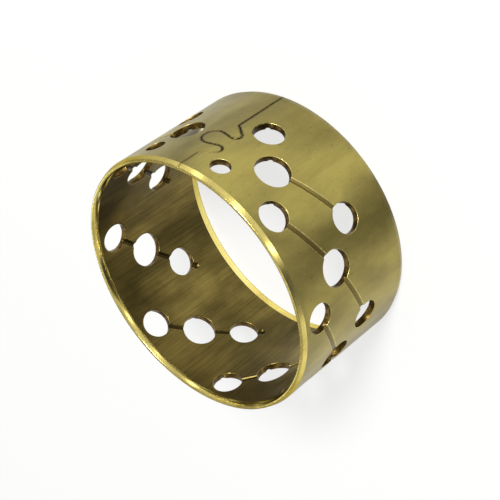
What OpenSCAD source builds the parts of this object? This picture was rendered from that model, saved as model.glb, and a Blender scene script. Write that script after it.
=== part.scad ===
// Thin-wall wrapped bushing. One brass strip is punched and grooved flat, rolled round,
// and held shut by a clinch lock in its butt seam. It stands on its plain end, with its
// axis along Z and the straight part of the seam on +X.

/* [Shell] */
// Outside diameter of the rolled shell
outer_d = 60; // [56:0.5:80]
// Thickness of the strip
wall = 1.5; // [1.2:0.1:2.5]
// Length from end to end
shell_length = 33; // [31:0.5:50]

/* [Ends] */
// Length of the lead-in round the outside of each end
outer_lead_length = 1.2; // [0.5:0.1:2]
// How far the outside lead-in cuts into the wall
outer_lead_depth = 0.45; // [0.2:0.05:0.5]
// Length of the lead-in round the inside of the punched end
inner_lead_length = 1.3; // [0.5:0.1:2]
// Length of the lead-in round the inside of the plain end
plain_lead_length = 2; // [0.5:0.1:3]
// How far the inside lead-ins cut into the wall
inner_lead_depth = 0.48; // [0.2:0.02:0.6]

/* [Grease holes] */
// Slanted lines of holes around the shell
line_count = 8; // [6:1:8]
// Distance from the punched end to the end row of holes
end_row = 5.6; // [5:0.1:7]
// Spacing of the three rows along the axis
row_pitch = 7.4; // [7:0.1:8.4]
// How far along the strip each row is moved from the one before
row_shift = 7.3; // [5:0.1:8.5]
// Diameter of the holes in the end row and the inner row
hole_d = 6.5; // [4.5:0.1:6.8]
// Diameter of the holes in the middle row
middle_hole_d = 7.6; // [4.5:0.1:7.8]
// Length of strip from the seam to the first hole of the end row
first_hole = 20.9; // [19.5:0.1:21.5]
// Diameter of the single holes beside the seam, in the end row
seam_hole_d = 4.3; // [3:0.1:5]
// Length of strip from the seam to the single hole on the tongue's side
tongue_seam_hole = 6.3; // [6:0.1:9]
// Length of strip from the seam to the single hole on the socket's side
socket_seam_hole = 11.6; // [8:0.1:13]

/* [Oil grooves] */
// Width of the round-bottomed grooves at the surface
groove_w = 1.2; // [0.9:0.1:1.8]
// Depth of the grooves on the outside
outer_groove_depth = 0.4; // [0.2:0.05:0.45]
// Depth of the grooves on the inside
inner_groove_depth = 0.4; // [0.2:0.05:0.45]
// How far each inside groove runs on past the edge of its last hole
groove_tail = 1.6; // [0.8:0.1:3]
// Diameter of the round dimple that ends each inside groove
dimple_d = 1.5; // [1.3:0.1:2]
// Depth of that dimple
dimple_depth = 0.5; // [0.4:0.05:0.6]

/* [Clinch seam] */
// Opening between the two ends of the strip
seam_gap = 0.14; // [0.08:0.02:0.3]
// Distance from the punched end to the middle of the lock
lock_depth = 12.25; // [11:0.25:16]
// Diameter of the tongue's round head
head_d = 4.9; // [4.5:0.1:5.2]
// How far the head reaches past the straight seam
head_reach = 3.75; // [3.4:0.05:4.2]
// Width of the tongue's neck between the two horns
neck_w = 3.5; // [3.2:0.1:3.9]
// How far the horns reach back past the straight seam
horn_reach = 3.2; // [2.8:0.1:3.6]
// Radius of each horn's nose
horn_nose_r = 1.25; // [1:0.05:1.4]
// Distance between the two places where the horns leave the straight seam
horn_span = 12.4; // [11.5:0.1:14]
// Radius of the corner where each horn leaves the straight seam
horn_root_r = 0.5; // [0.2:0.1:1]

/* [Hidden] */
$fn = 128;

// How far each cutter runs on past the surface that it cuts
cut_past = 1;

outer_r = outer_d / 2;
inner_r = outer_r - wall;
// The strip keeps its flat length halfway through the wall
strip_r = outer_r - wall / 2;
line_pitch = 360 / line_count;

row_hole_d = [hole_d, middle_hole_d, hole_d];
last_row = len(row_hole_d) - 1;

// The seam's flat pattern: x along the strip, y along the axis from the middle of the lock
head_r = head_d / 2;
head = [head_reach - head_r, 0];
nose = [horn_nose_r - horn_reach, neck_w / 2 + horn_nose_r];
// Bearing from the head's centre at which the straight side of the neck leaves the head
neck_bearing = atan2(nose[1], nose[0] - head[0]) - acos((head_r + horn_nose_r) / norm(nose - head));
// Bearing from the nose's centre at which the straight flank of the horn leaves the nose
flank_bearing = atan2(horn_span / 2 - nose[1], -nose[0])
    + acos(horn_nose_r / norm([nose[0], horn_span / 2 - nose[1]]));
// Centre of the corner at the horn's root, which the flank and the straight seam both touch
root = [
    -horn_root_r,
    (nose * polar(1, flank_bearing) + horn_nose_r + horn_root_r * (1 + cos(flank_bearing)))
        / sin(flank_bearing)
];
// Angle between the points of the seam's arcs
seam_step = 9;

// Angle that a length of strip takes up once it is rolled
function rolled(strip_length) = strip_length / strip_r * 180 / PI;

// Places on the shell, as [angle, height]; lines run on clockwise from the tongue's side of the seam
function hole_angle(row, line) = row * rolled(row_shift) - rolled(first_hole) - line * line_pitch;
function hole_height(row) = shell_length - end_row - row * row_pitch;
function hole_place(row, line) = [hole_angle(row, line), hole_height(row)];

// A step of the given length from a hole along its slanted line, measured on the bore
function line_step(length) =
    let (way = [inner_r * rolled(row_shift) * PI / 180, -row_pitch])
    length / norm(way) * [rolled(row_shift), -row_pitch];

function polar(radius, bearing) = radius * [cos(bearing), sin(bearing)];

// Points of an arc, from one bearing to another
function arc(centre, radius, from, to) =
    let (steps = ceil(abs(to - from) / seam_step))
    [for (i = [0 : steps]) centre + polar(radius, from + (to - from) * i / steps)];

// Radius of the round cutter that leaves a mark of this width at this depth
function cutter_r(width, depth) = (pow(width / 2, 2) + pow(depth, 2)) / (2 * depth);

// Upper half of one side of the lock, from the head's tip to the horn's root, let out from the tongue
function seam_half(let_out) = concat(
    arc(head, head_r + let_out, 0, neck_bearing),
    arc(nose, horn_nose_r - let_out, neck_bearing + 180, flank_bearing),
    arc(root, horn_root_r + let_out, flank_bearing - 180, 0)
);

// Rolled shell with a lead-in on both edges of both ends
module shell() {
    rotate_extrude()
        polygon([
            [inner_r + inner_lead_depth, 0],
            [outer_r - outer_lead_depth, 0],
            [outer_r, outer_lead_length],
            [outer_r, shell_length - outer_lead_length],
            [outer_r - outer_lead_depth, shell_length],
            [inner_r + inner_lead_depth, shell_length],
            [inner_r, shell_length - inner_lead_length],
            [inner_r, plain_lead_length],
        ]);
}

// Punch for one radial hole
module punch(place, diameter) {
    rotate([0, 0, place[0]])
        translate([inner_r - cut_past, 0, place[1]])
            rotate([0, 90, 0])
                cylinder(d = diameter, h = wall + 2 * cut_past);
}

// Every grease hole: slanted lines of three, and a single hole each side of the seam in place
// of the end hole that the seam takes from the last line
module grease_holes() {
    for (line = [0 : line_count - 1])
        for (row = [0 : last_row])
            if (row > 0 || line < line_count - 1)
                punch(hole_place(row, line), row_hole_d[row]);
    for (angle = [-rolled(tongue_seam_hole), rolled(socket_seam_hole)])
        punch([angle, hole_height(0)], seam_hole_d);
}

// Cutter for one groove, swept on the arc that lies along the shell from one place to another
module groove(from, to, centre_r, radius) {
    run = centre_r * (to[0] - from[0]) * PI / 180;
    rise = to[1] - from[1];
    slope = atan(rise / run);
    bend_r = centre_r / pow(cos(slope), 2);
    half_angle = norm([run, rise]) / 2 / bend_r * 180 / PI;
    rotate([0, 0, (from[0] + to[0]) / 2])
        translate([centre_r - bend_r, 0, (from[1] + to[1]) / 2])
            rotate([slope, 0, 0])
                rotate([0, 0, -half_angle])
                    rotate_extrude(angle = 2 * half_angle)
                        translate([bend_r, 0])
                            circle(r = radius, $fn = 32);
}

// Outside grooves: each joins a hole to one in the next row of the next line, clear of the seam
module outer_grooves() {
    radius = cutter_r(groove_w, outer_groove_depth);
    centre_r = outer_r + radius - outer_groove_depth;
    for (line = [0 : line_count - 2])
        for (row = [0 : last_row - 1])
            groove(hole_place(row, line), hole_place(row + 1, line + 1), centre_r, radius);
}

// Inside grooves: each joins the holes of one line and runs on to a round dimple
module inner_grooves() {
    radius = cutter_r(groove_w, inner_groove_depth);
    centre_r = inner_r - radius + inner_groove_depth;
    dimple_r = cutter_r(dimple_d, dimple_depth);
    tail = line_step(row_hole_d[last_row] / 2 + groove_tail - dimple_d / 2);
    for (line = [0 : line_count - 1]) {
        first_row = line < line_count - 1 ? 0 : 1;
        tail_end = hole_place(last_row, line) + tail;
        for (row = [first_row : last_row - 1])
            groove(hole_place(row, line), hole_place(row + 1, line), centre_r, radius);
        groove(hole_place(last_row, line), tail_end, centre_r, radius);
        rotate([0, 0, tail_end[0]])
            translate([inner_r - dimple_r + dimple_depth, 0, tail_end[1]])
                sphere(r = dimple_r, $fn = 32);
    }
}

// Cut that parts the two ends of the strip along the clinch lock, from end to end
module seam() {
    ends = [lock_depth - shell_length - cut_past, lock_depth + cut_past];
    socket_half = seam_half(seam_gap / 2);
    tongue_half = seam_half(-seam_gap / 2);
    translate([inner_r - cut_past, 0, shell_length - lock_depth])
        rotate([90, 0, 90])
            linear_extrude(wall + 2 * cut_past)
                polygon(concat(
                    [[seam_gap / 2, ends[0]]],
                    [for (i = [len(socket_half) - 1 : -1 : 1]) [socket_half[i][0], -socket_half[i][1]]],
                    socket_half,
                    [[seam_gap / 2, ends[1]], [-seam_gap / 2, ends[1]]],
                    [for (i = [len(tongue_half) - 1 : -1 : 1]) tongue_half[i]],
                    [for (point = tongue_half) [point[0], -point[1]]],
                    [[-seam_gap / 2, ends[0]]]
                ));
}

module bushing() {
    color("#a39549")
        difference() {
            shell();
            grease_holes();
            outer_grooves();
            inner_grooves();
            seam();
        }
}

bushing();
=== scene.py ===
"""Looks of a thin-wall brass bushing, rolled from one punched strip and clinched at its seam."""

import logging
import math
from dataclasses import dataclass, field
from enum import Enum, IntEnum
from typing import Any, Sequence

import bmesh
import bpy
from bmesh.types import BMEdge, BMFace, BMVert, BMesh
from mathutils import Matrix, Vector


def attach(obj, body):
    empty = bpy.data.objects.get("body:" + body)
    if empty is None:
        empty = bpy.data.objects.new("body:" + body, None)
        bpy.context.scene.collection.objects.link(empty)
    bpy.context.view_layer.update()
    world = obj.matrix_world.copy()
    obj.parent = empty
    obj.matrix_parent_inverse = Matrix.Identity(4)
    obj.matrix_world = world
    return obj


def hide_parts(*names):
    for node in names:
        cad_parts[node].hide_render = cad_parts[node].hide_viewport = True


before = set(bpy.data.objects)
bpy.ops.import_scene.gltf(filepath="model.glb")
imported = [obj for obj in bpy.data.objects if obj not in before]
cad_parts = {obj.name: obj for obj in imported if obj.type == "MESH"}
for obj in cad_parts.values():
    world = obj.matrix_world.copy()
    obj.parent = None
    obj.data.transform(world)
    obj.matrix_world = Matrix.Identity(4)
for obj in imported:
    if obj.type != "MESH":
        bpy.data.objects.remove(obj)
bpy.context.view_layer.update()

log = logging.getLogger("bushing")

# The bushing's sizes are in millimetres until the strip is rolled; this is one in metres
MM = 0.001
# Directions on the flat strip: along it, along the axis of the bushing, and through its thickness
ALONG = Vector((1, 0, 0))
AXIAL = Vector((0, 1, 0))
THROUGH = Vector((0, 0, 1))
# Width of the rounded lip beside a groove, and how far it drops to the groove's edge
LIP = 0.12
LIP_DROP = 0.025
# Lines along a lead-in, a groove and a dimple, as shares of its length, half width and radius
LEAD_STEPS = (0.25, 0.5, 0.75, 1.0)
GROOVE_STEPS = (1.0, 0.9, 0.68, 0.36)
DIMPLE_STEPS = (-1.0, -0.5, 0.0, 0.35, 0.65, 0.85, 1.0, 1.16)
# Length of a bay of the strip; faces are sorted by bays, so that a groove looks only at those near it
BAY = 5.0
# One bend in this many is cut before the grooves are scored, and the others after that
FIRST_CUTS = 8
# A corner as near as this to the line of a lead-in, or to a cut, is taken to lie on it
LINE_SNAP = 1e-5
CUT_SNAP = 0.003
# A face is one of the broad faces if its normal points this far through the strip
BROAD = 0.3
# Depth below the broad faces at which a sheared wall begins, and the slack where a lead-in ends
SKIN = 0.05
SLACK = 1e-4


class Finish(IntEnum):
    """Material slots of the bushing, one for each way its surface was made."""

    OUTSIDE = 0
    BORE = 1
    LEAD = 2
    SHEARED = 3


class Face(Enum):
    """The two broad faces of the strip, by the side that they show once it is rolled."""

    OUTER = 1
    INNER = -1


def linear(hex_colour: str) -> tuple[float, float, float, float]:
    """Turn an sRGB hex colour into the linear colour that sockets take.

    Args:
        hex_colour: Colour such as "#a39549".

    Returns:
        Red, green, blue and alpha, with alpha 1.
    """
    channels = [int(hex_colour[i:i + 2], 16) / 255 for i in (1, 3, 5)]
    return (*(c / 12.92 if c <= 0.04045 else ((c + 0.055) / 1.055) ** 2.4 for c in channels), 1.0)


def add_node(tree: bpy.types.NodeTree, kind: str, links: dict[Any, Any] | None = None,
             values: dict[Any, Any] | None = None, **settings: Any) -> bpy.types.Node:
    """Add one node with its settings, its fixed socket values and its links.

    Args:
        tree: Node tree that gets the node.
        kind: Node type, without its ShaderNode prefix.
        links: Output sockets to link, by the name or index of the input.
        values: Fixed values, by the name or index of the input.
        settings: Properties of the node itself.

    Returns:
        The new node.
    """
    node = tree.nodes.new("ShaderNode" + kind)
    for name, value in settings.items():
        setattr(node, name, value)
    for key, value in (values or {}).items():
        node.inputs[key].default_value = value
    for key, socket in (links or {}).items():
        tree.links.new(socket, node.inputs[key])
    return node


def round_bottom(offset: float, width: float, depth: float) -> float:
    """Profile of a round-bottomed groove with a slightly rounded lip.

    Args:
        offset: Distance from the middle of the groove.
        width: Width of the groove at the surface.
        depth: Depth in the middle.

    Returns:
        Depth at that distance.
    """
    radius = ((width / 2) ** 2 + depth ** 2) / (2 * depth)
    if offset < width / 2:
        return math.sqrt(radius ** 2 - offset ** 2) - (radius - depth) + LIP_DROP
    if offset < width / 2 + LIP:
        return LIP_DROP * (1 - (offset - width / 2) / LIP) ** 2
    return 0.0


@dataclass(frozen=True)
class Groove:
    """One straight groove on the flat strip, with an optional round dimple at its end."""

    start: Vector
    end: Vector
    face: Face
    width: float
    depth: float
    dimple_d: float = 0.0
    dimple_depth: float = 0.0

    @property
    def way(self) -> Vector:
        """Unit vector from the start to the end."""
        return (self.end - self.start).normalized()

    @property
    def across(self) -> Vector:
        """Unit vector square to the groove, in the plane of the strip."""
        return THROUGH.cross(self.way)

    @property
    def length(self) -> float:
        """Distance from the start to the end."""
        return (self.end - self.start).length

    def bays(self) -> range:
        """Bays of the strip that the groove may reach."""
        ends = sorted((self.start.x, self.end.x))
        return range(int((ends[0] - BAY) // BAY), int((ends[1] + BAY) // BAY) + 1)

    def depth_at(self, place: Vector) -> float:
        """How deep the groove is at a place on the strip.

        Args:
            place: Place on the strip; its height is not used.

        Returns:
            Depth below the face, and 0 outside the groove.
        """
        step = Vector((place.x, place.y, 0)) - self.start
        run = step.dot(self.way)
        deep = 0.0
        if 0 <= run <= self.length:
            deep = round_bottom(abs(step.dot(self.across)), self.width, self.depth)
        if self.dimple_d:
            reach = (step - self.way * self.length).length
            deep = max(deep, round_bottom(reach, self.dimple_d, self.dimple_depth))
        return deep


@dataclass(frozen=True)
class ClinchSeam:
    """Outline of the jigsaw lock that holds the two ends of the strip together."""

    # Opening between the strip's ends, at the plain end and at the punched end
    gaps: tuple[float, float] = (0.2, 0.07)
    lock_height: float = 20.75
    head_r: float = 2.45
    head_reach: float = 3.75
    neck_w: float = 3.5
    horn_reach: float = 3.2
    nose_r: float = 1.25
    horn_span: float = 12.4
    root_r: float = 0.5
    arc_step: float = math.radians(6)

    def draw(self, bm: BMesh, at: float, side: int, length: float) -> tuple[BMVert, BMVert]:
        """Draw one side of the seam from the plain end to the punched end.

        Args:
            bm: Mesh that gets the vertices and edges.
            at: Place of the straight seam along the strip.
            side: 1 for the socket's side of the gap and -1 for the tongue's.
            length: Length of the strip across, from end to end.

        Returns:
            The vertices at the plain end and at the punched end.
        """
        drawn = set(bm.verts)
        let_out = side * sum(self.gaps) / 4
        head = Vector((self.head_reach - self.head_r, 0))
        nose = Vector((self.nose_r - self.horn_reach, self.neck_w / 2 + self.nose_r))
        to_nose = nose - head
        neck = math.atan2(to_nose.y, to_nose.x) - math.acos((self.head_r + self.nose_r) / to_nose.length)
        to_root = Vector((0, self.horn_span / 2)) - nose
        flank = math.atan2(to_root.y, to_root.x) + math.acos(self.nose_r / to_root.length)
        tangent = nose.x * math.cos(flank) + nose.y * math.sin(flank)
        root = Vector((-self.root_r, (tangent + self.nose_r + self.root_r * (1 + math.cos(flank)))
                       / math.sin(flank)))
        upper = [
            (nose, self.nose_r - let_out, neck + math.pi, flank),
            (root, self.root_r + let_out, flank - math.pi, 0.0),
        ]
        lower = [(Vector((c.x, -c.y)), r, -end, -start) for c, r, start, end in reversed(upper)]
        arcs = lower + [(head, self.head_r + let_out, -neck, neck)] + upper
        first = last = bm.verts.new((at + let_out, 0, 0))
        for centre, radius, start, end in arcs:
            middle = Vector((at + centre.x, self.lock_height + centre.y, 0))
            begin = bm.verts.new(middle + radius * Vector((math.cos(start), math.sin(start), 0)))
            bm.edges.new((last, begin))
            swept = bmesh.ops.spin(bm, geom=[begin], cent=middle, axis=THROUGH, angle=end - start,
                                   steps=math.ceil(abs(end - start) / self.arc_step))
            last = next(item for item in swept["geom_last"] if isinstance(item, BMVert))
        top = bm.verts.new((at + let_out, length, 0))
        bm.edges.new((last, top))
        # Half the gap at each height, less half of its mean, which the outline is already let out by
        for vert in set(bm.verts) - drawn:
            vert.co.x += side * (self.gaps[0] - self.gaps[1]) * (0.25 - 0.5 * vert.co.y / length)
        return first, top


@dataclass
class Bushing:
    """The whole bushing, made as it is made in the press: punched flat, grooved, then rolled."""

    outer_r: float = 30.0
    wall: float = 1.5
    length: float = 33.0
    # Lead-ins, by length and depth: outside, and inside at the punched end and at the plain end
    outer_lead: tuple[float, float] = (1.2, 0.45)
    inner_lead: tuple[float, float] = (1.3, 0.48)
    plain_lead: tuple[float, float] = (2.0, 0.48)
    # How far the inside lead-in of the punched end is rounded over; 1 is a straight slope
    inner_lead_curve: float = 1.5
    rim_round: float = 0.16
    line_count: int = 8
    end_row: float = 5.6
    row_pitch: float = 7.4
    row_shift: float = 7.3
    row_hole_d: tuple[float, ...] = (6.5, 7.6, 6.5)
    first_hole: float = 20.9
    seam_hole_d: float = 4.3
    # Single holes, by their distance along the strip from the seam
    seam_holes: tuple[float, float] = (-6.3, 11.6)
    groove_w: float = 1.2
    groove_depth: float = 0.4
    groove_tail: float = 1.6
    dimple_d: float = 1.5
    dimple_depth: float = 0.5
    seam: ClinchSeam = field(default_factory=ClinchSeam)
    # Width of the narrow faces along every edge, and the old oil and painted shade at their middle and far side beside
    # the seam
    collar: float = 0.4
    collar_oil_and_shade: tuple[float, float] = (0.9, 0.0)
    # Dark band in the seam, partly old oil and partly painted shade of the gap: its share at the plain end's rim,
    # the length in which it rises by 1 from there, the length in which it fades out past the lock, and its least share
    rim_oil_and_shade: float = 0.5
    oil_and_shade_rise: float = 12.0
    oil_and_shade_fade: float = 2.0
    least_oil_and_shade: float = 0.4
    # Rounding of the edges that turn more than an angle, and the part of its depth that is rubbed bright
    edge_round: float = 0.08
    sharp_angle: float = math.radians(40)
    rubbed: tuple[float, float] = (0.1, 0.6)
    # Wear of the grooves' lips in the bore, against 1 on the outside
    bore_lip_wear: float = 0.3
    slice_angle: float = math.radians(1.2)
    slice_height: float = 3.0
    hole_sides: int = 60

    @property
    def strip_r(self) -> float:
        """Radius at which the strip keeps its flat length."""
        return self.outer_r - self.wall / 2

    @property
    def strip(self) -> float:
        """Flat length of the strip."""
        return 2 * math.pi * self.strip_r

    def hole_place(self, row: int, line: int) -> Vector:
        """Centre of a hole of the slanted lines, on the flat strip.

        Args:
            row: Row of the hole, from the punched end.
            line: Slanted line of the hole, from the tongue's side of the seam.

        Returns:
            Place on the strip.
        """
        along = row * self.row_shift - self.first_hole - line * self.strip / self.line_count
        return Vector((along % self.strip, self.length - self.end_row - row * self.row_pitch, 0))

    def holes(self) -> list[tuple[Vector, float]]:
        """List every punched hole.

        Returns:
            The centre and diameter of each hole.
        """
        found = [(self.hole_place(row, line), diameter)
                 for line in range(self.line_count) for row, diameter in enumerate(self.row_hole_d)
                 if row > 0 or line < self.line_count - 1]
        height = self.length - self.end_row
        return found + [(Vector((along % self.strip, height, 0)), self.seam_hole_d) for along in self.seam_holes]

    def grooves(self) -> list[Groove]:
        """List every oil groove.

        Returns:
            The grooves of both faces.
        """
        last_row = len(self.row_hole_d) - 1
        found = [Groove(self.hole_place(row, line), self.hole_place(row + 1, line + 1), Face.OUTER,
                        self.groove_w, self.groove_depth)
                 for line in range(self.line_count - 1) for row in range(last_row)]
        for line in range(self.line_count):
            first_row = 0 if line < self.line_count - 1 else 1
            for row in range(first_row, last_row):
                found.append(Groove(self.hole_place(row, line), self.hole_place(row + 1, line), Face.INNER,
                                    self.groove_w, self.groove_depth))
            start = self.hole_place(last_row, line)
            way = Vector((self.row_shift, -self.row_pitch, 0)).normalized()
            reach = self.row_hole_d[last_row] / 2 + self.groove_tail - self.dimple_d / 2
            found.append(Groove(start, start + way * reach, Face.INNER, self.groove_w, self.groove_depth,
                                self.dimple_d, self.dimple_depth))
        return found

    def oil_and_shade_at(self, place: Vector) -> float:
        """How dark the band beside the seam is at a place on the strip: partly old oil, partly painted shade.

        Args:
            place: Place on the strip, at the edge of it or just inside.

        Returns:
            Share of oil and painted shade, 0 away from the seam.
        """
        from_end = min(place.y, self.length - place.y)
        from_seam = min(abs(place.x), abs(self.strip - place.x))
        reach = self.seam.head_reach + self.collar if from_end > self.edge_round else 2 * self.edge_round
        if from_seam > reach or from_seam > self.collar > from_end:
            return 0.0
        past_lock = (self.seam.lock_height + self.seam.head_r + self.oil_and_shade_fade - place.y) / self.oil_and_shade_fade
        return max(self.least_oil_and_shade, min(1.0, past_lock, self.rim_oil_and_shade + place.y / self.oil_and_shade_rise))

    def punch_blank(self, bm: BMesh, oil_and_shade: Any) -> list[BMEdge]:
        """Make the flat blank with its holes, each edge of it with narrow collars of faces.

        Args:
            bm: Empty mesh that gets the blank.
            oil_and_shade: Vertex layer that takes the old oil and the painted shade along the seam.

        Returns:
            The braces across the open area, which hold no shape.
        """
        socket = self.seam.draw(bm, 0.0, 1, self.length)
        tongue = self.seam.draw(bm, self.strip, -1, self.length)
        for one, other in zip(socket, tongue):
            bm.edges.new((one, other))
        sheet = bmesh.ops.contextual_create(bm, geom=bm.edges[:])["faces"]
        for share in self.collar_oil_and_shade:
            bmesh.ops.inset_region(bm, faces=sheet, thickness=self.collar / len(self.collar_oil_and_shade), use_boundary=True,
                                   use_even_offset=True)
            for vert in sheet[0].verts:
                vert[oil_and_shade] = share * self.oil_and_shade_at(vert.co)
        borders = [edge for face in sheet for edge in face.edges]
        bmesh.ops.delete(bm, geom=sheet, context="FACES_ONLY")
        for place, diameter in self.holes():
            ring = bmesh.ops.create_circle(bm, cap_ends=True, segments=self.hole_sides,
                                           radius=diameter / 2 + self.collar,
                                           matrix=Matrix.Translation(place))["verts"]
            slug = list({face for vert in ring for face in vert.link_faces})
            rim = bmesh.ops.inset_region(bm, faces=slug, thickness=self.collar, use_boundary=True,
                                         use_even_offset=True)["faces"]
            bmesh.ops.delete(bm, geom=slug, context="FACES_ONLY")
            borders += [edge for face in rim for edge in face.edges
                        if all((vert.co - place).length > (diameter + self.collar) / 2 for vert in edge.verts)]
        filled = bmesh.ops.triangle_fill(bm, use_beauty=True, use_dissolve=False, edges=borders, normal=THROUGH)
        return [item for item in filled["geom"] if isinstance(item, BMEdge)]

    def thicken(self, bm: BMesh) -> None:
        """Give the blank its thickness, and mark off the lead-ins along both ends.

        Args:
            bm: Mesh with the flat blank.
        """
        raised = bmesh.ops.extrude_face_region(bm, geom=bm.faces[:])["geom"]
        bmesh.ops.translate(bm, verts=[item for item in raised if isinstance(item, BMVert)],
                            vec=THROUGH * self.wall)
        bmesh.ops.recalc_face_normals(bm, faces=bm.faces[:])
        plain = [self.plain_lead[0] * part for part in LEAD_STEPS] + [self.outer_lead[0], self.rim_round]
        punched = [self.inner_lead[0] * part for part in LEAD_STEPS] + [self.outer_lead[0], self.rim_round]
        for height in plain + [self.length - reach for reach in punched]:
            bmesh.ops.bisect_plane(bm, geom=bm.verts[:] + bm.edges[:] + bm.faces[:], dist=LINE_SNAP,
                                   plane_co=AXIAL * height, plane_no=AXIAL)

    def lead_at(self, place: Vector) -> tuple[float, float]:
        """Find the lead-in of the nearest rim.

        Args:
            place: Place on the flat strip.

        Returns:
            Length and depth of that lead-in.
        """
        if place.z > self.wall / 2:
            return self.outer_lead
        return self.plain_lead if place.y < self.length / 2 else self.inner_lead

    def taper_ends(self, bm: BMesh) -> None:
        """Slope both faces in towards both ends, and round the rims.

        Args:
            bm: Mesh of the flat strip.
        """
        for vert in bm.verts:
            outer = vert.co.z > self.wall / 2
            lead_length, lead_depth = self.lead_at(vert.co)
            end = min(vert.co.y, self.length - vert.co.y)
            if end < lead_length:
                curve = self.inner_lead_curve if self.lead_at(vert.co) is self.inner_lead else 1.0
                drop = lead_depth * (1 - end / lead_length) ** curve
                if end < self.rim_round:
                    drop += self.rim_round - math.sqrt(self.rim_round ** 2 - (self.rim_round - end) ** 2)
                vert.co.z += -drop if outer else drop

    def round_edges(self, bm: BMesh, wear: Any, oil_and_shade: Any) -> None:
        """Round every sharp edge a little, as tumbling leaves it, and mark it as worn, or beside the seam with old oil
        and painted shade.

        Args:
            bm: Mesh of the flat strip.
            wear: Vertex layer that takes the wear of the open edges.
            oil_and_shade: Vertex layer that takes the old oil and the painted shade along the seam.
        """
        sharp = [edge for edge in bm.edges if edge.calc_face_angle(0) > self.sharp_angle]
        rounded = bmesh.ops.bevel(bm, geom=sharp, offset=self.edge_round, offset_type="OFFSET", affect="EDGES",
                                  segments=2, profile=0.5, material=-1, clamp_overlap=True, loop_slide=False)
        for vert in {vert for face in rounded["faces"] for vert in face.verts}:
            vert[oil_and_shade] = self.oil_and_shade_at(vert.co)
            depth = min(vert.co.z, self.wall - vert.co.z)
            if not vert[oil_and_shade] and self.rubbed[0] * self.edge_round < depth < self.rubbed[1] * self.edge_round:
                vert[wear] = 1.0

    def slice(self, bm: BMesh, faces: list[BMFace], places: Sequence[float], way: Vector) -> list[BMFace]:
        """Cut faces across at each of the given places, so that the strip can bend there.

        Args:
            bm: Mesh of the flat strip.
            faces: Faces that the cuts go through.
            places: Places of the cuts along the way, in rising order.
            way: Direction along which the places are measured.

        Returns:
            The faces that the cuts leave.
        """
        if not places or not faces:
            return faces
        middle = len(places) // 2
        geom = list({item for face in faces for item in (*face.verts, *face.edges, face)})
        cut = bmesh.ops.bisect_plane(bm, geom=geom, dist=CUT_SNAP, plane_co=way * places[middle], plane_no=way)
        parts = [item for item in cut["geom"] if isinstance(item, BMFace)]
        below = [face for face in parts if face.calc_center_median().dot(way) < places[middle]]
        under = set(below)
        above = [face for face in parts if face not in under]
        return self.slice(bm, below, places[:middle], way) + self.slice(bm, above, places[middle + 1:], way)

    def score_grooves(self, bm: BMesh) -> None:
        """Cut lines along the grooves into both faces of the flat strip, for the grooves to bend at.

        Args:
            bm: Mesh of the flat strip.
        """
        bays: dict[tuple[Face, int], list[BMFace]] = {}
        for face in bm.faces:
            if abs(face.normal.z) > BROAD:
                side = Face.OUTER if face.normal.z > 0 else Face.INNER
                bays.setdefault((side, int(face.calc_center_median().x // BAY)), []).append(face)
        for groove in self.grooves():
            near = [face for bay in groove.bays() for face in bays.get((groove.face, bay), []) if face.is_valid]
            half = groove.width / 2
            steps = [half + LIP] + [half * part for part in GROOVE_STEPS]
            base = groove.start.dot(groove.across)
            band = self.slice(bm, self.within(near, groove, half + 2 * LIP),
                              [base + step for step in sorted([-step for step in steps] + [0.0] + steps)],
                              groove.across)
            if groove.dimple_d:
                base, radius = groove.end.dot(groove.way), groove.dimple_d / 2
                self.slice(bm, band, [base + radius * part for part in DIMPLE_STEPS], groove.way)

    def coin_grooves(self, bm: BMesh, wear: Any, grime: Any) -> None:
        """Press the oil grooves into both faces of the flat strip.

        Args:
            bm: Mesh of the flat strip.
            wear: Vertex layer that takes the wear of the grooves' lips.
            grime: Vertex layer that takes how deep in a groove each vertex lies, from 0 to 1.
        """
        bays: dict[tuple[Face, int], list[BMVert]] = {}
        for vert in bm.verts:
            side = Face.OUTER if vert.co.z > self.wall / 2 else Face.INNER
            bays.setdefault((side, int(vert.co.x // BAY)), []).append(vert)
        for groove in self.grooves():
            for vert in [vert for bay in groove.bays() for vert in bays.get((groove.face, bay), [])]:
                deep = groove.depth_at(vert.co)
                if deep > 0:
                    vert.co.z = (min(vert.co.z, self.wall - deep) if groove.face is Face.OUTER
                                 else max(vert.co.z, deep))
                    vert[grime] = max(vert[grime], min(1.0, deep / self.groove_depth))
                    lip = max(0.0, 1.0 - abs(deep / LIP_DROP - 1.0))
                    vert[wear] = max(vert[wear], lip) if groove.face is Face.OUTER else self.bore_lip_wear * lip

    @staticmethod
    def within(faces: list[BMFace], groove: Groove, margin: float) -> list[BMFace]:
        """Keep the faces that come within a margin of a groove.

        Args:
            faces: Faces to choose from.
            groove: The groove.
            margin: Distance to each side of it.

        Returns:
            The faces that come that near.
        """
        kept = []
        for face in faces:
            steps = [vert.co - groove.start for vert in face.verts]
            offsets = [step.dot(groove.across) for step in steps]
            runs = [step.dot(groove.way) for step in steps]
            beside = min(offsets) < margin and max(offsets) > -margin
            if beside and max(runs) > 0 and min(runs) < groove.length + groove.dimple_d:
                kept.append(face)
        return kept

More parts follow.
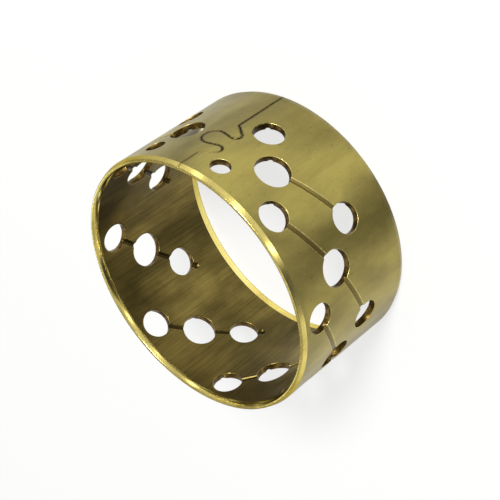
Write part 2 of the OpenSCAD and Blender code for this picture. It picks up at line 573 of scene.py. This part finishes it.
    def sort_finishes(self, bm: BMesh) -> None:
        """Give each face of the flat strip the finish of the step that made it, with a crisp line round turned faces.

        Args:
            bm: Mesh of the flat strip.
        """
        for face in bm.faces:
            centre = face.calc_center_median()
            outer = centre.z > self.wall / 2
            lead_length = self.lead_at(centre)[0]
            at_plain_end = centre.y < lead_length - SLACK
            at_punched_end = centre.y > self.length - lead_length + SLACK
            if at_punched_end or (at_plain_end and not outer):
                face.material_index = Finish.LEAD
            elif abs(face.normal.z) < BROAD and min(centre.z, self.wall - centre.z) > SKIN:
                face.material_index = Finish.SHEARED
            else:
                face.material_index = Finish.OUTSIDE if outer else Finish.BORE
        for edge in bm.edges:
            finishes = {face.material_index for face in edge.link_faces}
            edge.smooth = Finish.LEAD not in finishes or len(finishes) == 1

    def roll(self, bm: BMesh) -> None:
        """Roll the flat strip round into the shell, in metres.

        Args:
            bm: Mesh of the flat strip.
        """
        for vert in bm.verts:
            turn = vert.co.x / self.strip_r
            radius = self.strip_r + vert.co.z - self.wall / 2
            vert.co = Vector((radius * math.cos(turn), radius * math.sin(turn), vert.co.y)) * MM

    def build(self) -> bpy.types.Object:
        """Make the bushing's mesh and put it in place of the plain solid.

        Returns:
            The finished object, still without materials.
        """
        bm = bmesh.new()
        wear = bm.verts.layers.float.new("wear")
        grime = bm.verts.layers.float.new("grime")
        oil_and_shade = bm.verts.layers.float.new("oil_and_shade")
        brace = bm.edges.layers.int.new("brace")
        for edge in self.punch_blank(bm, oil_and_shade):
            edge[brace] = 1
        self.thicken(bm)
        self.round_edges(bm, wear, oil_and_shade)
        self.taper_ends(bm)
        bends = round(2 * math.pi / self.slice_angle)
        rows = round(self.length / self.slice_height)
        places = [self.strip * (i + 0.5) / bends for i in range(bends)]
        self.slice(bm, bm.faces[:], places[::FIRST_CUTS], ALONG)
        self.slice(bm, bm.faces[:], [self.length * i / rows for i in range(1, rows)], AXIAL)
        bmesh.ops.dissolve_edges(bm, edges=[edge for edge in bm.edges if edge[brace]], use_verts=True,
                                 use_face_split=False)
        bm.normal_update()
        self.score_grooves(bm)
        self.slice(bm, bm.faces[:], [place for i, place in enumerate(places) if i % FIRST_CUTS], ALONG)
        self.coin_grooves(bm, wear, grime)
        bmesh.ops.recalc_face_normals(bm, faces=bm.faces[:])
        self.sort_finishes(bm)
        self.roll(bm)
        bm.normal_update()
        open_edges = [edge for edge in bm.edges if not edge.is_manifold]
        log.info("bushing: %d vertices, %d faces, %d open edges", len(bm.verts), len(bm.faces), len(open_edges))
        for face in bm.faces:
            face.smooth = True
        mesh = bpy.data.meshes.new("rolled_bushing")
        bm.to_mesh(mesh)
        bm.free()
        piece = bpy.data.objects.new("rolled_bushing", mesh)
        bpy.context.scene.collection.objects.link(piece)
        even = piece.modifiers.new("even shading", "WEIGHTED_NORMAL")
        even.mode = "FACE_AREA"
        even.weight = 50
        even.keep_sharp = True
        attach(piece, "root")
        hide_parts("bushing")
        return piece

    def dress(self, piece: bpy.types.Object) -> None:
        """Give the bushing its brass finishes, in the order of their slots.

        Args:
            piece: The finished object.
        """
        for finish in Finish:
            piece.data.materials.append(BRASS[finish].material())
            log.info("finish: %s", BRASS[finish].name)


# Old oil, dried brown along the seam, which also stands for painted shade in the gap
OLD_OIL_AND_SHADE = "#3a2e14"
# Noise behind the broad patches of tarnish and painted reflection, the streaks and the specks, which are about 0.6 mm
# apart
PATCHES = {"Scale": 1.0, "Detail": 5.0, "Roughness": 0.55, "Distortion": 0.3}
STREAKS = {"Scale": 1.0, "Detail": 4.0, "Roughness": 0.6}
SPECKS = {"Scale": 1 / (MM * 0.6), "Detail": 1.0}
# Noise at which the broad patches have their dull, middle and bright colour
TARNISH_AND_REFLECTION_STOPS = (0.34, 0.5, 0.68)
# Range of the noise over which most of it changes, and that of its few highest spots
BROAD_RANGE = {"From Min": 0.3, "From Max": 0.7}
PEAK_RANGE = {"From Min": 0.68, "From Max": 0.76}
# How wear is broken up by the streaks, where in a groove dirt begins, and how the seam's oil and painted shade are
# broken into blots
CHAFING = {"From Min": 0.35, "From Max": 0.6, "To Min": 0.25, "To Max": 1.0}
GROOVE_DIRT = {"From Min": 0.3, "From Max": 1.0}
BLOTS = {"From Min": 0.3, "From Max": 0.55, "To Min": 0.4, "To Max": 0.95}
# Share of the streaks' height that shows as relief
RELIEF = 0.6


@dataclass(frozen=True)
class BrassFinish:
    """One finish of the brass strip: its colours, its patches and its marks."""

    name: str
    # Colours of the broad patches, from dark to bright: partly tarnish, partly painted reflection and shade
    dull: str
    middle: str
    bright: str
    # Colours of rubbed edges and of dirt, with the share of dirt at the bottom of a groove
    worn: str
    grimy: str
    dirt: float
    # Roughness where the patches are bright and where they are dull
    roughness: tuple[float, float]
    # Sizes of the marks round the bushing and along its axis
    patch_mm: tuple[float, float]
    streak_mm: tuple[float, float]
    # Share by which streaks and specks change the colour's brightness
    streak_shade: float
    speck_shade: float
    bump_mm: float
    # Where in the noise the marks begin, which places the broad patches on the bushing, so that they also paint darker
    # and lighter bands of reflection
    origin: tuple[float, float, float]
    # Tint of the brass where it is seen at a glancing angle
    glancing: str = "#ffffff"

    def material(self) -> bpy.types.Material:
        """Build the finish as a material.

        Returns:
            The new material.
        """
        material = bpy.data.materials.new(self.name)
        material.use_nodes = True
        tree = material.node_tree
        tree.nodes.clear()
        place = add_node(tree, "TexCoord").outputs["Object"]
        spread = self.stretched(tree, place, self.patch_mm)
        patches = add_node(tree, "TexNoise", {"Vector": spread}, PATCHES)
        # Broad patches: partly tarnish, partly painted reflection and shade, set darker and lighter where the brass
        # mirrors darker and lighter surroundings
        tarnish_and_reflection = add_node(tree, "ValToRGB", {"Fac": patches.outputs["Fac"]})
        stops = tarnish_and_reflection.color_ramp.elements
        heavy, usual, thin = TARNISH_AND_REFLECTION_STOPS
        stops[0].position, stops[0].color = heavy, linear(self.dull)
        stops[1].position, stops[1].color = thin, linear(self.bright)
        stops.new(usual).color = linear(self.middle)
        streaks = add_node(tree, "TexNoise", {"Vector": self.stretched(tree, place, self.streak_mm)}, STREAKS)
        shade = add_node(tree, "MapRange", {"Value": streaks.outputs["Fac"]},
                         BROAD_RANGE | {"To Min": 1 - self.streak_shade, "To Max": 1 + self.streak_shade})
        dust = add_node(tree, "TexNoise", {"Vector": place}, SPECKS)
        specks = add_node(tree, "MapRange", {"Value": dust.outputs["Fac"]},
                          PEAK_RANGE | {"To Min": 1.0, "To Max": 1 - self.speck_shade})
        marks = add_node(tree, "Math", {0: shade.outputs["Result"], 1: specks.outputs["Result"]}, operation="MULTIPLY")
        marked = add_node(tree, "VectorMath", {0: tarnish_and_reflection.outputs["Color"], 1: marks.outputs["Value"]},
                          operation="MULTIPLY")
        wear = add_node(tree, "Attribute", attribute_name="wear").outputs["Fac"]
        chafed = add_node(tree, "MapRange", {"Value": streaks.outputs["Fac"]}, CHAFING)
        edge = add_node(tree, "Math", {0: chafed.outputs["Result"], 1: wear}, operation="MULTIPLY", use_clamp=True)
        worn = add_node(tree, "Mix", {"Factor": edge.outputs["Value"], 6: marked.outputs["Vector"]},
                        {7: linear(self.worn)}, data_type="RGBA")
        grime = add_node(tree, "Attribute", attribute_name="grime").outputs["Fac"]
        dirt = add_node(tree, "MapRange", {"Value": grime}, GROOVE_DIRT | {"To Max": self.dirt})
        dirty = add_node(tree, "Mix", {"Factor": dirt.outputs["Result"], 6: worn.outputs[2]},
                         {7: linear(self.grimy)}, data_type="RGBA")
        # Dark band along the seam: partly old oil, partly painted shade of the narrow gap
        oil_and_shade = add_node(tree, "Attribute", attribute_name="oil_and_shade").outputs["Fac"]
        blots = add_node(tree, "MapRange", {"Value": dust.outputs["Fac"]}, BLOTS)
        seam_dark = add_node(tree, "Math", {0: oil_and_shade, 1: blots.outputs["Result"]}, operation="MULTIPLY", use_clamp=True)
        colour = add_node(tree, "Mix", {"Factor": seam_dark.outputs["Value"], 6: dirty.outputs[2]},
                          {7: linear(OLD_OIL_AND_SHADE)}, data_type="RGBA")
        gloss = add_node(tree, "MapRange", {"Value": patches.outputs["Fac"]},
                         BROAD_RANGE | {"To Min": self.roughness[1], "To Max": self.roughness[0]})
        bump = add_node(tree, "Bump", {"Height": streaks.outputs["Fac"]},
                        {"Strength": RELIEF, "Distance": MM * self.bump_mm})
        shader = add_node(tree, "BsdfPrincipled",
                          {"Base Color": colour.outputs[2], "Roughness": gloss.outputs["Result"],
                           "Normal": bump.outputs["Normal"]},
                          {"Metallic": 1.0, "Specular Tint": linear(self.glancing)})
        add_node(tree, "OutputMaterial", {"Surface": shader.outputs["BSDF"]})
        return material

    def stretched(self, tree: bpy.types.NodeTree, place: bpy.types.NodeSocket,
                  size_mm: tuple[float, float]) -> bpy.types.NodeSocket:
        """Scale the object's coordinates to marks of one size round the bushing and another along its axis.

        Args:
            tree: Node tree that gets the node.
            place: Coordinates to scale.
            size_mm: Size of the marks round the bushing and along its axis.

        Returns:
            The scaled coordinates.
        """
        round_it, along_it = (1 / (MM * size) for size in size_mm)
        mapping = add_node(tree, "Mapping", {"Vector": place},
                           {"Location": self.origin, "Scale": (round_it, round_it, along_it)})
        return mapping.outputs["Vector"]


BRASS = {
    # Cold-rolled brass strip, handled and stored: satin, with olive tarnish and painted reflection in soft bands, and
    # faint lines.
    Finish.OUTSIDE: BrassFinish(
        name="rolled_brass_tarnished",
        dull="#776d3b", middle="#90844a", bright="#ad9f57", worn="#efdf98", grimy="#5c4c26", dirt=0.75,
        roughness=(0.32, 0.42), patch_mm=(14.0, 26.0), streak_mm=(0.4, 12.0), streak_shade=0.04, speck_shade=0.3,
        bump_mm=0.005, origin=(16.84, 39.56, 36.55)),
    # The same strip on the bore, oiled: darker and browner, with long scratches along the axis; its broad patches are
    # partly painted reflection.
    Finish.BORE: BrassFinish(
        name="rolled_brass_oiled_bore",
        dull="#4e4423", middle="#695c31", bright="#8b7a42", worn="#bfa866", grimy="#2e2410", dirt=0.85,
        roughness=(0.30, 0.42), patch_mm=(12.0, 24.0), streak_mm=(0.32, 16.0), streak_shade=0.3, speck_shade=0.2,
        bump_mm=0.014, origin=(31.54, 3.9, 25.2)),
    # Lead-ins and end faces, turned after rolling: bright yellow with fine tool lines, dull in broad patches that are
    # partly rubbed by hands and partly painted reflection.
    Finish.LEAD: BrassFinish(
        name="turned_brass_bright",
        dull="#bcab63", middle="#f2df82", bright="#fff2a2", worn="#f6e8a8", grimy="#8a6f34", dirt=0.5,
        roughness=(0.13, 0.23), patch_mm=(28.0, 28.0), streak_mm=(0.8, 0.4), streak_shade=0.05, speck_shade=0.2,
        bump_mm=0.001, origin=(39.55, 7.96, 25.68), glancing="#b4a88a"),
    # Punched hole walls and the seam's edges: sheared across the thickness, brown with old oil.
    Finish.SHEARED: BrassFinish(
        name="sheared_brass_oiled",
        dull="#3a2b11", middle="#5a4721", bright="#8a713a", worn="#e0c880", grimy="#2a1f0c", dirt=0.9,
        roughness=(0.34, 0.5), patch_mm=(1.2, 1.2), streak_mm=(0.3, 0.6), streak_shade=0.2, speck_shade=0.3,
        bump_mm=0.03, origin=(0.0, 0.0, 0.0)),
}


@dataclass(frozen=True)
class Studio:
    """Pale floor, soft light and the camera, in metres, watts and degrees round from +X."""

    camera_place: tuple[float, float, float] = (0.1837, -0.1807, 0.2019)
    image_right: tuple[float, float, float] = (-0.07246, -0.75257, -0.65452)
    image_up: tuple[float, float, float] = (0.81221, 0.33634, -0.47665)
    lens_mm: float = 107.08
    sensor_mm: float = 36.0
    # Nearest and farthest distance that the camera sees
    view_range: tuple[float, float] = (0.01, 20.0)
    floor_size: float = 6.0
    # How far the floor lies under the bushing, so that the two do not flicker into each other
    floor_drop: float = 0.00002
    floor_colour: str = "#f7f7f3"
    # Share of plain white in the floor, for the camera and for what the brass mirrors
    floor_glow: tuple[float, float] = (0.72, 0.75)
    key_azimuth: float = -20.0
    key_elevation: float = 42.0
    key_distance: float = 1.6
    key_size: float = 0.45
    key_power: float = 27.0
    # Strip lamps, by azimuth and height
    strips: tuple[tuple[float, float], ...] = ((21.0, 0.15), (-18.0, 0.15), (-55.0, 0.15), (126.0, 0.5))
    strip_size: tuple[float, float] = (0.1, 0.3)
    strip_power: float = 0.4
    sky: float = 0.5
    # Brightness of the room that the brass mirrors, in its dark doorway and beside it
    room: tuple[float, float] = (0.04, 0.95)
    # Azimuth of the doorway, with its soft edge as the cosines of two angles from it
    doorway: float = -90.0
    doorway_edge: tuple[float, float] = (0.885, 0.945)
    # Painted shade on the floor, in line with the doorway, that only the brass mirrors: where it starts, its soft edge
    # and its brightness
    painted_shade_from: tuple[float, float, float] = (0.015, -0.01, 0.0)
    painted_shade_edge: tuple[float, float] = (0.94, 0.988)
    painted_floor_shade: float = 0.5

    @staticmethod
    def bearing(degrees: float, height: float = 0.0) -> Vector:
        """Find the place at an azimuth, a metre out from the bushing's axis.

        Args:
            degrees: The azimuth.
            height: Height of the place over the floor.

        Returns:
            The place.
        """
        azimuth = math.radians(degrees)
        return Vector((math.cos(azimuth), math.sin(azimuth), height))

    @staticmethod
    def mirrored(tree: bpy.types.NodeTree, path: bpy.types.Node) -> bpy.types.NodeSocket:
        """Tell the rays that come from a mirroring or clear surface.

        Args:
            tree: Node tree that gets the node.
            path: The tree's Light Path node.

        Returns:
            1 for such a ray and 0 for any other.
        """
        return add_node(tree, "Math", {0: path.outputs["Is Glossy Ray"], 1: path.outputs["Is Transmission Ray"]},
                        operation="MAXIMUM").outputs["Value"]

    def camera(self) -> None:
        """Set the camera at the viewing angle of the photograph."""
        data = bpy.data.cameras.new("camera")
        data.sensor_width = self.sensor_mm
        data.lens = self.lens_mm
        data.clip_start, data.clip_end = self.view_range
        camera = bpy.data.objects.new("camera", data)
        right, up = Vector(self.image_right).normalized(), Vector(self.image_up).normalized()
        turn = Matrix((right, up, right.cross(up))).transposed()
        camera.matrix_world = Matrix.Translation(self.camera_place) @ turn.to_4x4()
        bpy.context.scene.collection.objects.link(camera)
        bpy.context.scene.camera = camera

    def floor(self) -> None:
        """Lay the pale floor that the bushing stands on; the brass mirrors it with a painted shade in line with the
        doorway.
        """
        bm = bmesh.new()
        bmesh.ops.create_grid(bm, x_segments=1, y_segments=1, size=self.floor_size / 2,
                              matrix=Matrix.Translation((0, 0, -self.floor_drop)))
        mesh = bpy.data.meshes.new("floor")
        bm.to_mesh(mesh)
        bm.free()
        floor = bpy.data.objects.new("floor", mesh)
        bpy.context.scene.collection.objects.link(floor)
        # Matt white board: it spreads the light evenly, so it takes a soft shadow and shows no reflection.
        material = bpy.data.materials.new("matt_white_board")
        material.use_nodes = True
        tree = material.node_tree
        tree.nodes.clear()
        board = add_node(tree, "BsdfDiffuse", values={"Color": linear(self.floor_colour)})
        path = add_node(tree, "LightPath")
        place = add_node(tree, "TexCoord").outputs["Object"]
        # Painted shade: the floor's white glow dims in a wedge towards the doorway, only for the rays that the brass
        # mirrors
        away = add_node(tree, "VectorMath", {0: place}, {1: self.painted_shade_from}, operation="SUBTRACT")
        ahead = add_node(tree, "VectorMath", {0: away.outputs["Vector"]}, operation="NORMALIZE")
        facing = add_node(tree, "VectorMath", {0: ahead.outputs["Vector"]}, {1: self.bearing(self.doorway)},
                          operation="DOT_PRODUCT")
        shade = add_node(tree, "MapRange", {"Value": facing.outputs["Value"]},
                         {"From Min": self.painted_shade_edge[0], "From Max": self.painted_shade_edge[1],
                          "To Min": 1.0, "To Max": self.painted_floor_shade})
        strength = add_node(tree, "Mix", {"Factor": path.outputs["Is Camera Ray"], 2: shade.outputs["Result"]},
                            {3: 1.0}, data_type="FLOAT")
        glow = add_node(tree, "Math", {0: self.mirrored(tree, path)}, {1: self.floor_glow[1]}, operation="MULTIPLY")
        share = add_node(tree, "Mix", {"Factor": path.outputs["Is Camera Ray"], 2: glow.outputs["Value"]},
                         {3: self.floor_glow[0]}, data_type="FLOAT")
        white = add_node(tree, "Emission", {"Strength": strength.outputs[0]})
        both = add_node(tree, "MixShader", {"Fac": share.outputs[0], 1: board.outputs["BSDF"],
                                            2: white.outputs["Emission"]})
        add_node(tree, "OutputMaterial", {"Surface": both.outputs["Shader"]})
        mesh.materials.append(material)

    def lights(self) -> None:
        """Hang a soft key lamp and the strips, and fill in with a pale room that has one dark doorway."""
        world = bpy.data.worlds.new("pale_room")
        world.use_nodes = True
        tree = world.node_tree
        tree.nodes.clear()
        path = add_node(tree, "LightPath")
        place = add_node(tree, "TexCoord").outputs["Generated"]
        facing = add_node(tree, "VectorMath", {0: place}, {1: self.bearing(self.doorway)}, operation="DOT_PRODUCT")
        room = add_node(tree, "MapRange", {"Value": facing.outputs["Value"]},
                        {"From Min": self.doorway_edge[0], "From Max": self.doorway_edge[1],
                         "To Min": self.room[1], "To Max": self.room[0]})
        lit = add_node(tree, "Mix", {"Factor": self.mirrored(tree, path), 3: room.outputs["Result"]}, {2: self.sky},
                       data_type="FLOAT")
        strength = add_node(tree, "Mix", {"Factor": path.outputs["Is Camera Ray"], 2: lit.outputs[0]}, {3: 1.0},
                            data_type="FLOAT")
        sky = add_node(tree, "Background", {"Strength": strength.outputs[0]})
        add_node(tree, "OutputWorld", {"Surface": sky.outputs["Background"]})
        bpy.context.scene.world = world
        key = bpy.data.lights.new("key", "AREA")
        key.shape = "DISK"
        key.size = self.key_size
        key.energy = self.key_power
        azimuth, elevation = math.radians(self.key_azimuth), math.radians(self.key_elevation)
        self.hang(key, self.key_distance * Vector((math.cos(azimuth) * math.cos(elevation),
                                                   math.sin(azimuth) * math.cos(elevation), math.sin(elevation))))
        for degrees, height in self.strips:
            strip = bpy.data.lights.new("strip", "AREA")
            strip.shape = "RECTANGLE"
            strip.size, strip.size_y = self.strip_size
            strip.energy = self.strip_power
            self.hang(strip, self.bearing(degrees, height))

    @staticmethod
    def hang(lamp: bpy.types.AreaLight, place: Vector) -> None:
        """Hang a lamp in its place, turned to the bushing and out of the camera's sight.

        Args:
            lamp: The lamp's data.
            place: Where it hangs.
        """
        hung = bpy.data.objects.new(lamp.name, lamp)
        hung.matrix_world = Matrix.Translation(place) @ place.to_track_quat("Z", "Y").to_matrix().to_4x4()
        hung.visible_camera = False
        bpy.context.scene.collection.objects.link(hung)


def main() -> None:
    """Build the bushing and the studio around it."""
    logging.basicConfig(level=logging.INFO, format="%(name)s: %(message)s")
    bpy.context.scene.view_settings.view_transform = "Standard"
    studio = Studio()
    studio.camera()
    bushing = Bushing()
    piece = bushing.build()
    bushing.dress(piece)
    studio.floor()
    studio.lights()


if __name__ == "__main__":
    main()
